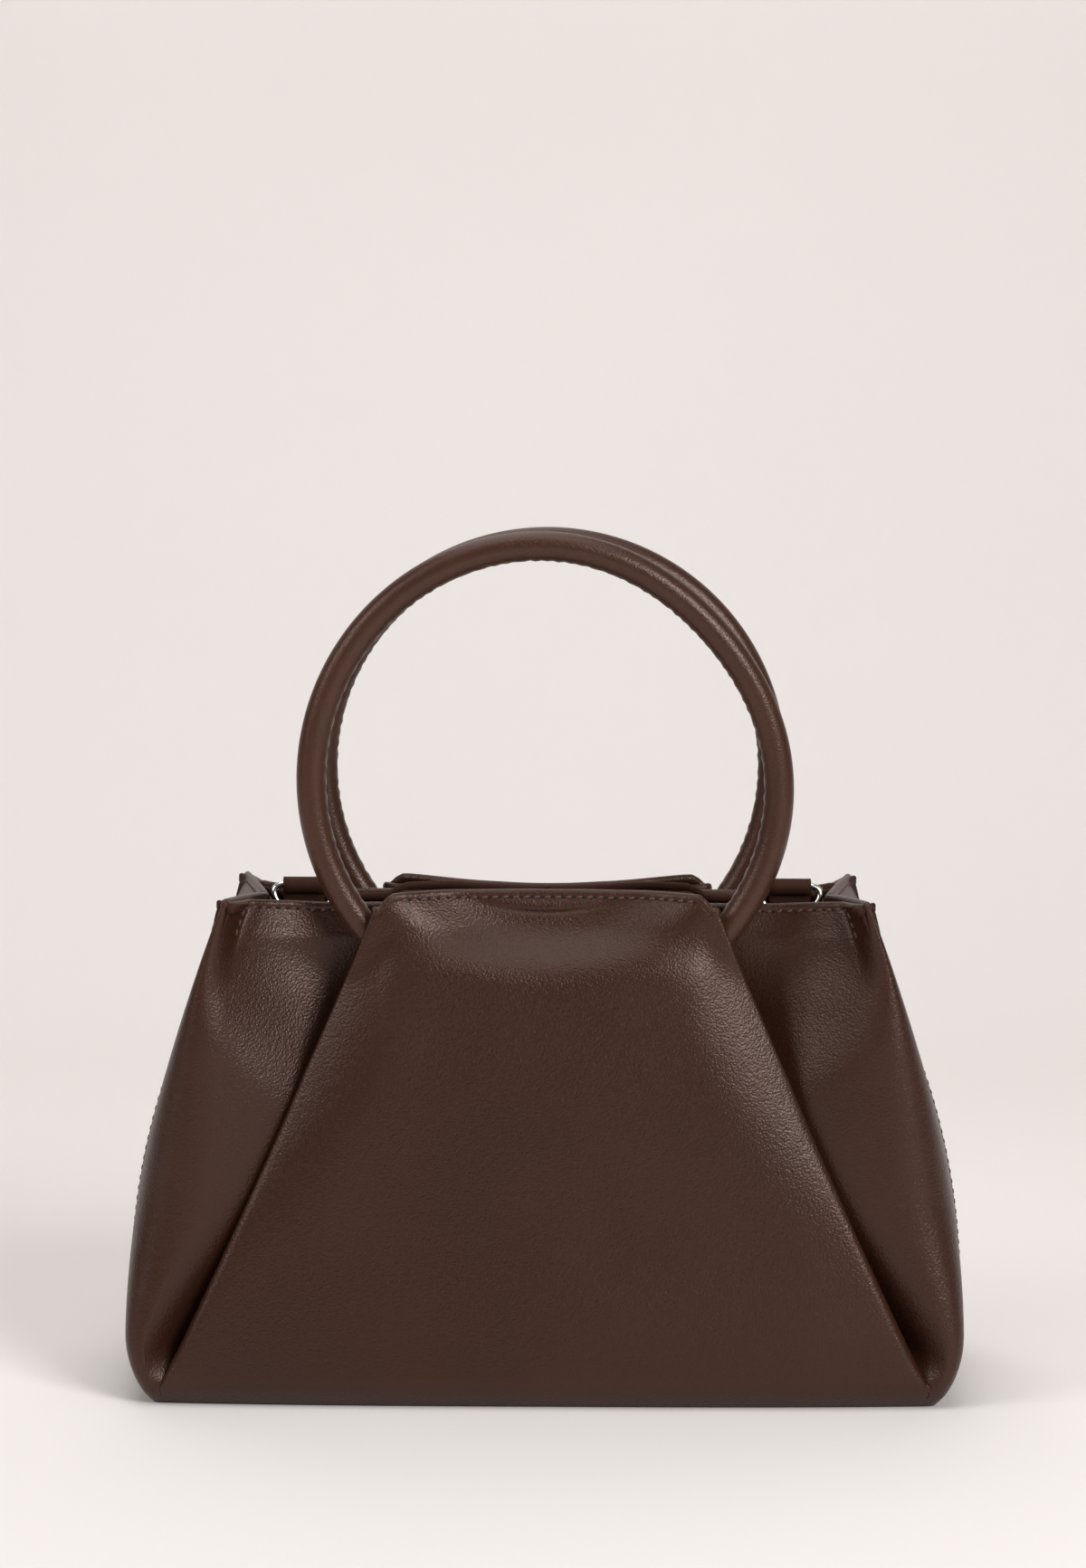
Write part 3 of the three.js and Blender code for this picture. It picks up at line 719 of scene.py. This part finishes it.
def normals_of(points):
    """Outward normals of a grid of points."""
    last_row, last_column = len(points) - 1, len(points[0]) - 1
    made = []
    for row, line in enumerate(points):
        above, below = points[min(row + 1, last_row)], points[max(row - 1, 0)]
        made.append([])
        for column in range(last_column + 1):
            along = line[min(column + 1, last_column)] - line[max(column - 1, 0)]
            made[-1].append(along.cross(above[column] - below[column]).normalized())
    return made


def with_hem(points, radius, turn):
    """The rows of points, their top edge turned over inwards and down."""
    top = points[-1]
    outward = []
    for normal in normals_of(points)[-1]:
        normal.z = 0
        outward.append(normal.normalized())
    hem = []
    for step in range(1, HEM_STEPS + 1):
        angle = pi * step / HEM_STEPS
        up = Vector((0, 0, radius * sin(angle)))
        hem.append([p - n * radius * (1 - cos(angle)) + up for p, n in zip(top, outward)])
    hem.append([p - Vector((0, 0, turn)) for p in hem[-1]])
    return points + hem


def hem_relief(drop):
    """Height of the turned hem's band over the leather, with a groove along its stitches."""
    band = HEM_PUFF * (1 - smooth(drop, STITCH_DROP - STITCH_GROOVE, STITCH_DROP + 2 * STITCH_GROOVE))
    return band - STITCH_SINK * exp(-(((drop - STITCH_DROP) / STITCH_GROOVE) ** 2))


def whole_row(left, middle):
    """Whole row of points: the left half, the middle and the left half mirrored."""
    return left + [middle] + [Vector((-p.x, p.y, p.z)) for p in reversed(left)]


def panel_points(lip):
    """Rows of points up a panel, with the relief of its hem."""
    rows = []
    for z in panel_heights():
        left = panel_half(z, lip)
        middle = Vector((0, wrap(0, z) + lip_crease(0, z), left[-1].z))
        rows.append(whole_row(left, middle))
    raised = []
    for z, line, normals in zip(panel_heights(), rows, normals_of(rows)):
        relief = hem_relief(BODY_HEIGHT - z)
        raised.append([point + normal * relief for point, normal in zip(line, normals)])
    return raised


def ring_gap(point):
    """Distance from a point to the front ring's tube, over the ring's whole swing."""
    height = point.z - pivot_height
    outward = height * (SWING_OUT if height > 0 else -SWING_IN)
    inward = height * (SWING_IN if height > 0 else -SWING_OUT)
    y = point.y + ring_plane
    across = max(-abs(outward) - y, y - abs(inward), 0)
    return hypot(ring_distance(point.x, point.z) - ring_middle, across) - ring_tube


def turned_round(mesh, is_back):
    if is_back:
        bmesh.ops.rotate(mesh, verts=mesh.verts, cent=(0, 0, 0), matrix=Matrix.Rotation(pi, 3, "Z"))
    return mesh


def thickened(made, thick):
    """The sheet gets its thickness, half on each side."""
    solid = made.modifiers.new("thickness", "SOLIDIFY")
    solid.thickness = thick * MM
    solid.offset = 0


def panel(name, lip, is_back):
    mesh = net(with_hem(panel_points(lip), HEM_RADIUS, HEM_TURN))
    eye = [face for face in mesh.faces if ring_gap(face.calc_center_median() / MM) < EYE_ROOM]
    bmesh.ops.delete(mesh, geom=eye, context="FACES")
    made = as_object(f"{name}_leather", turned_round(mesh, is_back), body_leather)
    thickened(made, LEATHER)
    placed(made, "root", "leather", f"{name}_panel")


panel("front", FRONT_LIP, False)
panel("back", BACK_LIP, True)

# Linings: a band of smooth leather faces the inside of the mouth, and a cloth lining hangs from it
# down to the base. Both keep out of the pleats and pass behind the rings.
FACING_DARK = (0.031, 0.0125, 0.008, 1)
FACING_LIGHT = (0.046, 0.018, 0.0112, 1)
FACING_ROUGHNESS = 0.6
FACING_SHINE = 0.12
FACING_GRAIN = GRAIN * 1.2
FACING_RELIEF = 0.15
FACING_THICK = 1.2
FACING_INSET = 2.75
FACING_LOW = 108
FACING_ROWS = 24
FACING_TOP = 0.8
CLOTH_THICK = 0.8
LINING_LOW = 5.2
LINING_INSET = 2.2
LINING_ROWS = 30
ACROSS_COLUMNS = 30

facing_leather = leather(
    "facing_leather", FACING_DARK, FACING_LIGHT, FACING_ROUGHNESS, FACING_SHINE, FACING_GRAIN, FACING_RELIEF
)


def lining_half(z, lip):
    fold = fold_path(z)
    end = -fold_x(z) + fold[0][0]
    path = wall_path(z, end)
    for step in range(ACROSS_COLUMNS):
        x = end * (1 - step / ACROSS_COLUMNS)
        path.append(Vector((x, backing(x, z))))
    half = []
    for index, (x, y) in enumerate(path):
        behind = 1 - smooth(abs(x), FOLD_MOUTH - SHOULDER_RUN, FOLD_MOUTH + SHOULDER_RUN / 2)
        inset = corner_x(z) + x
        rise = lerp(wall_rise(index, inset), top_rise(x, lip), behind)
        if index >= ROLL_MIDDLE:
            y += pinch(inset, z)
        half.append(Vector((x, y, z + rise * lifting(z))))
    return half


def lining_points(low, high, count, inset, lip):
    """Rows of points behind the walls' surface, by an inset."""
    rows = []
    for row in range(count + 1):
        z = lerp(low, high, row / count)
        left = lining_half(z, lip)
        middle = Vector((0, backing(0, z), left[-1].z))
        rows.append(whole_row(left, middle))
    normals = normals_of(rows)
    for line in normals:
        for end in (line[0], line[-1]):
            end.y = 0
            end.normalize()
    return [[p - n * inset for p, n in zip(*lines)] for lines in zip(rows, normals)]


def run_of(path):
    """Length of a path of points, in metres."""
    return sum((after - before).length for before, after in zip(path, path[1:])) * MM


def half_lining(name, lip, is_back):
    top = BODY_HEIGHT - FACING_TOP - HEM_RADIUS / 2
    facing = lining_points(FACING_LOW, top, FACING_ROWS, FACING_INSET, lip)
    mesh = net(with_hem(facing, HEM_RADIUS / 2, HEM_TURN))
    band = as_object(f"{name}_band", turned_round(mesh, is_back), facing_leather)
    thickened(band, FACING_THICK)
    placed(band, "root", "facing", f"{name}_facing")
    hung = lining_points(LINING_LOW, FACING_LOW, LINING_ROWS, LINING_INSET, lip)
    mesh = net(hung)
    area = sum(face.calc_area() for face in mesh.faces)
    made = as_object(f"{name}_cloth", turned_round(mesh, is_back), lining_cloth)
    thickened(made, CLOTH_THICK)
    placed(made, "root", "lining", f"{name}_lining")
    flat = (max(map(run_of, hung)), max(map(run_of, zip(*hung))))


half_lining("front", FRONT_LIP, False)
half_lining("back", BACK_LIP, True)

# Magnetic snap: two pressed steel discs, a socket on the front facing and a stud on the back one,
# each held by a washer behind the leather.
METAL_COLOUR = (0.80, 0.79, 0.77, 1)
SNAP_DROP = 16
SNAP_RADIUS = 9
SNAP_BODY = 3
STUD_RADIUS = 3.8
STUD_HEIGHT = 2.5
SOCKET_PLAY = 0.3
PLATE_DROP = 0.6
SNAP_SEAT = 3.45
SNAP_STEPS = 40
SNAP_BEVEL = 0.35
SHARP_ANGLE = 1

metal = mottled("metal", METAL_COLOUR, roughness=0.2, scale=400, spread=0.06, metallic=1).material


def spun(mesh, steps):
    """What the mesh holds, turned once round Y."""
    bmesh.ops.spin(
        mesh,
        geom=mesh.verts[:] + mesh.edges[:],
        cent=(0, 0, 0),
        axis=(0, 1, 0),
        angle=2 * pi,
        steps=steps,
        use_merge=True,
    )


def turned_disc(profile):
    """Round metal piece about Y, from its half profile of radius and height."""
    mesh = bmesh.new()
    corners = [mesh.verts.new((radius * MM, height * MM, 0)) for radius, height in profile]
    for pair in zip(corners, corners[1:]):
        mesh.edges.new(pair)
    spun(mesh, SNAP_STEPS)
    bmesh.ops.remove_doubles(mesh, verts=mesh.verts, dist=WELD_GAP)
    sharp = [edge for edge in mesh.edges if edge.is_manifold and edge.calc_face_angle(0) > SHARP_ANGLE]
    bevelled(mesh, sharp, SNAP_BEVEL)
    return mesh


def snap(name, profile, is_back):
    height = BODY_HEIGHT - SNAP_DROP
    slope = (backing_middle(BODY_HEIGHT) - backing_middle(ring_low.z)) / (BODY_HEIGHT - ring_low.z)
    mesh = turned_disc(profile)
    seat = Matrix.Translation(Vector((0, backing_middle(height), height)) * MM)
    tilt = Matrix.Rotation(atan(-slope), 4, "X")
    bmesh.ops.transform(mesh, verts=mesh.verts, matrix=seat @ tilt)
    made = as_object(f"snap_{name}", turned_round(mesh, is_back), metal)
    placed(made, "root", "metal", f"magnet_{name}")


def stepped(top, step_radius, step_top):
    """Half profile of a disc with a round step in the middle of its top."""
    rim = [(0, SNAP_SEAT), (SNAP_RADIUS, SNAP_SEAT), (SNAP_RADIUS, top)]
    return rim + [(step_radius, top), (step_radius, step_top), (0, step_top)]


socket_top = SNAP_SEAT + SNAP_BODY
stud_top = socket_top - PLATE_DROP
snap("socket", stepped(socket_top, STUD_RADIUS + SOCKET_PLAY, socket_top - STUD_HEIGHT), False)
snap("stud", stepped(stud_top, STUD_RADIUS, stud_top + STUD_HEIGHT), True)
for washer in ("socket_washer", "stud_washer"):
    frame["nodes"][washer].data.materials.clear()
    frame["nodes"][washer].data.materials.append(metal)

# Strap fittings: a doubled strip of leather sewn upright on the back facing at each side, its loop
# holding the straight bar of a bright wire D-ring that hangs free in front of it.
TAB_LENGTH = 26
TAB_TILT = radians(14)
TAB_LAYER = 1.45
TAB_LOOP = 2.4
TAB_HALF_GAP = 0.78
TAB_COLUMNS = 12
TAB_TURNS = 14
TAB_ROWS = 7
D_WIRE = 1.3
D_DEPTH = 12.3
D_ARM = 11
D_HANG = radians(12)
D_SIDES = 5
D_STEPS = 8
D_BAR = (-0.8, -0.4, 0, 0.4, 0.8)
D_BOW = (80, 60, 35, 0, -35, -60, -80)


def tab_path():
    """Middle line of the doubled strip from the side: up one layer, over the bar and down."""
    spread = atan2(TAB_HALF_GAP, sqrt(TAB_LOOP**2 - TAB_HALF_GAP**2))
    neck = -TAB_LOOP * cos(spread)
    rises = [lerp(-TAB_LENGTH, neck, column / TAB_COLUMNS) for column in range(TAB_COLUMNS)]
    path = [Vector((TAB_HALF_GAP, rise)) for rise in rises]
    for step in range(TAB_TURNS + 1):
        angle = lerp(spread - pi / 2, 3 * pi / 2 - spread, step / TAB_TURNS)
        path.append(Vector((TAB_LOOP * cos(angle), TAB_LOOP * sin(angle))))
    return path + [Vector((-p.x, p.y)) for p in reversed(path[:TAB_COLUMNS])]


def strap_fitting(name):
    low, high = (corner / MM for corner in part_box(f"{name}_tab"))
    joints = frame["record"]["behaviour"]["joints"]
    joint = next(item for item in joints if item["child"] == f"{name}_d_ring")
    bar = Vector(joint["pos_m"]) / MM
    path = tab_path()
    lean = Matrix.Rotation(TAB_TILT, 3, "X")

    def strip(row, column):
        across = lerp(low.x, high.x, row / (TAB_ROWS - 1)) - bar.x
        return bar + lean @ Vector((across, *path[column]))

    tab = as_object(f"{name}_strip", grid(TAB_ROWS, len(path), strip), facing_leather)
    thickened(tab, TAB_LAYER)
    placed(tab, "root", "facing", f"{name}_tab")

    curve = bpy.data.curves.new(f"{name}_wire", "CURVE")
    curve.dimensions = "3D"
    curve.bevel_depth = D_WIRE * MM
    curve.bevel_resolution = D_SIDES
    curve.resolution_u = D_STEPS
    knots = [Vector((D_ARM * share, 0, 0)) for share in D_BAR]
    knots += [Vector((D_ARM * sin(radians(a)), 0, -D_DEPTH * cos(radians(a)))) for a in D_BOW]
    spline = curve.splines.new("BEZIER")
    spline.bezier_points.add(len(knots) - 1)
    spline.use_cyclic_u = True
    hang = Matrix.Rotation(-D_HANG, 3, "X")
    for knot, point in zip(spline.bezier_points, knots):
        knot.co = (bar + hang @ point) * MM
        knot.handle_left_type = knot.handle_right_type = "AUTO"
    wire = bpy.data.objects.new(f"{name}_wire", curve)
    scene.collection.objects.link(wire)
    curve.materials.append(metal)
    placed(wire, f"{name}_d_ring", "metal", f"{name}_d_ring")


strap_fitting("left")
strap_fitting("right")

# Ring handles: a moulded ring in a sleeve of thin leather, pulled tight round it and sewn along
# the inside of the ring, where it gathers. The front one is a little out of round.
RING_DARK = (0.035, 0.0138, 0.0083, 1)
RING_LIGHT = (0.055, 0.0213, 0.0126, 1)
RING_ROUGHNESS = 0.34
RING_GRAIN = GRAIN * 1.15
RING_RELIEF = 0.16
CORE_COLOUR = (0.58, 0.48, 0.35, 1)
RING_STEPS = 240
RING_SIDES = 30
FLAT_PLACE = 42
FLAT_WIDTH = 25
FLAT_DEPTH = 4.1
SLEEVE_THICK = 1.5
SEAM_DEPTH = 0.5
SEAM_WIDTH = 0.14
SEAM_LIP = 0.3
SEAM_LIP_SHARE = 0.4
GATHER_REACH = 0.75
GATHER_DEPTH = 0.22
GATHERS = 116
GATHER_WAVES = 9
GATHER_WANDER = 2
CROSS_SHARE = 0.6
CROSS_PITCH = 0.62
CROSS_TWIST = 4

ring_leather = leather(
    "ring_leather", RING_DARK, RING_LIGHT, RING_ROUGHNESS, LEATHER_SHINE, RING_GRAIN, RING_RELIEF
)
core_finish = mottled("ring_core", CORE_COLOUR, roughness=0.6, scale=200, spread=0.1).material


def ring_mesh(tube, sides):
    """Round tube bent into a ring about Y, round the origin."""
    mesh = bmesh.new()
    bmesh.ops.create_circle(mesh, segments=sides, radius=tube * MM)
    bmesh.ops.translate(mesh, verts=mesh.verts, vec=(ring_middle * MM, 0, 0))
    spun(mesh, RING_STEPS)
    return mesh


def sleeve_puff(place, around):
    """Relief of the sleeve: a sewn seam along the inside, and gathers beside it."""
    inner = exp(-((around / GATHER_REACH) ** 2))
    gather = sin(GATHERS * place + GATHER_WANDER * sin(GATHER_WAVES * place))
    gather += CROSS_SHARE * sin(GATHERS * CROSS_PITCH * place + CROSS_TWIST * around)
    lips = SEAM_LIP_SHARE * exp(-(((abs(around) - SEAM_LIP) / SEAM_WIDTH) ** 2))
    groove = exp(-((around / SEAM_WIDTH) ** 2))
    return SEAM_DEPTH * (lips - groove) + GATHER_DEPTH * gather * inner


def ring_piece(name, mesh, material, flat_depth, is_sleeve, is_back):
    for vertex in mesh.verts:
        x, y, z = vertex.co / MM
        place = atan2(z, x)
        out = hypot(x, z) - ring_middle
        swell = 1 + (sleeve_puff(place, atan2(y, -out)) / ring_tube if is_sleeve else 0)
        flat = flat_depth * exp(-0.5 * ((degrees(place) - FLAT_PLACE) / FLAT_WIDTH) ** 2)
        radius = ring_middle - flat + out * swell
        depth = y * swell - ring_plane
        vertex.co = Vector((radius * cos(place), depth, radius * sin(place) + ring_centre)) * MM
    return as_object(name, turned_round(mesh, is_back), material)


def ring_handle(name, flat_depth, is_back):
    sleeve = ring_mesh(ring_tube, RING_SIDES)
    made = ring_piece(f"{name}_sleeve", sleeve, ring_leather, flat_depth, True, is_back)
    placed(made, f"{name}_ring", "ring_leather", f"{name}_ring_cover")
    core = ring_mesh(ring_tube - SLEEVE_THICK, RING_SIDES // 2)
    made = ring_piece(f"{name}_core", core, core_finish, flat_depth, False, is_back)
    placed(made, f"{name}_ring", "ring_core", f"{name}_ring_core")


ring_handle("front", FLAT_DEPTH, False)
ring_handle("back", 0, True)

# Thread: waxed brown thread in runs of slightly slanted stitches along the turned hems, the lips,
# the gussets and the side seams, and a short upright bar tack at each mouth corner. Between each two
# stitches a flat near-black bead is painted shade, standing for the dark inside of the needle hole.
THREAD_COLOUR = (0.085, 0.032, 0.019, 1)
# Near-black colour of painted shade: the darkness seen inside each needle hole.
HOLE_SHADE_COLOUR = (0.008, 0.004, 0.003, 1)
STITCH_PITCH = 3.7
STITCH_LENGTH = 2.5
STITCH_WIDTH = 1.15
STITCH_SLANT = radians(12)
HOLE_WIDTH = 1.6
HOLE_FLATNESS = 3
BEAD_SIDES = 6
BEAD_RINGS = 5
SEAM_COLUMN = 4
SEAM_ROWS = slice(3, -6)
FIRST_FOLD = GUSSET_COLUMNS + ROLL_COLUMNS + WING_COLUMNS
LAST_FOLD = FIRST_FOLD + 2 * ARC_COLUMNS + TUCK_COLUMNS - 2
LIP_INSET = 2
WING_OVERRUN = 3

thread = mottled("thread", THREAD_COLOUR, roughness=0.5, scale=2500, spread=0.3).material
# Painted shade for the needle holes, on the flat beads between stitches.
painted_hole_shade = mottled("painted_hole_shade", HOLE_SHADE_COLOUR, roughness=0.9, scale=2500, spread=0.3).material


def even_places(path, pitch):
    """Places at an even pitch along a path of points and normals, with the run's direction."""
    places = []
    due = pitch / 2
    walked = 0
    for (start, normal), (end, _) in zip(path, path[1:]):
        length = (end - start).length
        while length > 0 and due <= walked + length:
            place = start.lerp(end, (due - walked) / length)
            places.append((place, normal, (end - start).normalized()))
            due += pitch
        walked += length
    return places


def bead(mesh, place, axes, material_index):
    """Small ellipsoid with these half axes."""
    matrix = Matrix.Translation(place * MM) @ (Matrix(axes).transposed() * MM).to_4x4()
    made = bmesh.ops.create_uvsphere(
        mesh, u_segments=BEAD_SIDES, v_segments=BEAD_RINGS, radius=1, matrix=matrix
    )
    for face in {face for vertex in made["verts"] for face in vertex.link_faces}:
        face.material_index = material_index


def sew(mesh, path, lift):
    """Run of stitches along a path, with a flat near-black bead of painted shade for the needle hole
    between each two.
    """
    for point, normal, along in even_places(path, STITCH_PITCH):
        slant = Matrix.Rotation(STITCH_SLANT, 3, normal) @ along
        across = normal.cross(slant).normalized()
        half = STITCH_WIDTH / 2
        bead(mesh, point + normal * lift, (normal * half, across * half, slant * STITCH_LENGTH / 2), 0)
        # A flat dark bead of painted shade where the needle hole is.
        hole = point + along * STITCH_PITCH / 2 + normal * lift
        half = HOLE_WIDTH / 2
        bead(mesh, hole, (normal * half / HOLE_FLATNESS, across * half, slant * half), 1)


def panel_thread(name, lip, is_back):
    points = panel_points(lip)
    normals = normals_of(points)
    heights = panel_heights()
    columns = len(points[0])
    stitch_row = min(range(len(heights)), key=lambda row: abs(heights[row] - BODY_HEIGHT + STITCH_DROP))
    tack_row = min(range(len(heights)), key=lambda row: abs(heights[row] - TACK_LOW))
    tack_x = TACK_INSET - MOUTH_WIDTH / 2
    tack = min(range(ROLL_MIDDLE, FIRST_FOLD), key=lambda column: abs(points[-1][column].x - tack_x))
    pairs = list(zip(points[stitch_row], normals[stitch_row]))
    lip_start = LAST_FOLD + LIP_INSET
    mesh = bmesh.new()
    lift = LEATHER / 2
    sew(mesh, pairs[lip_start : columns - lip_start], lift)
    for first, last in ((tack, FIRST_FOLD + WING_OVERRUN), (1, GUSSET_COLUMNS)):
        sew(mesh, pairs[first:last], lift)
        sew(mesh, list(reversed(pairs[columns - last : columns - first])), lift)
    for first, rows in ((SEAM_COLUMN, SEAM_ROWS), (tack, slice(tack_row, None))):
        for column in (first, columns - 1 - first):
            upright = [(line[column], side[column]) for line, side in zip(points, normals)]
            sew(mesh, upright[rows], lift)
    made = as_object(f"{name}_thread", turned_round(mesh, is_back), thread)
    made.data.materials.append(painted_hole_shade)
    placed(made, "root", "leather")


panel_thread("front", FRONT_LIP, False)
panel_thread("back", BACK_LIP, True)
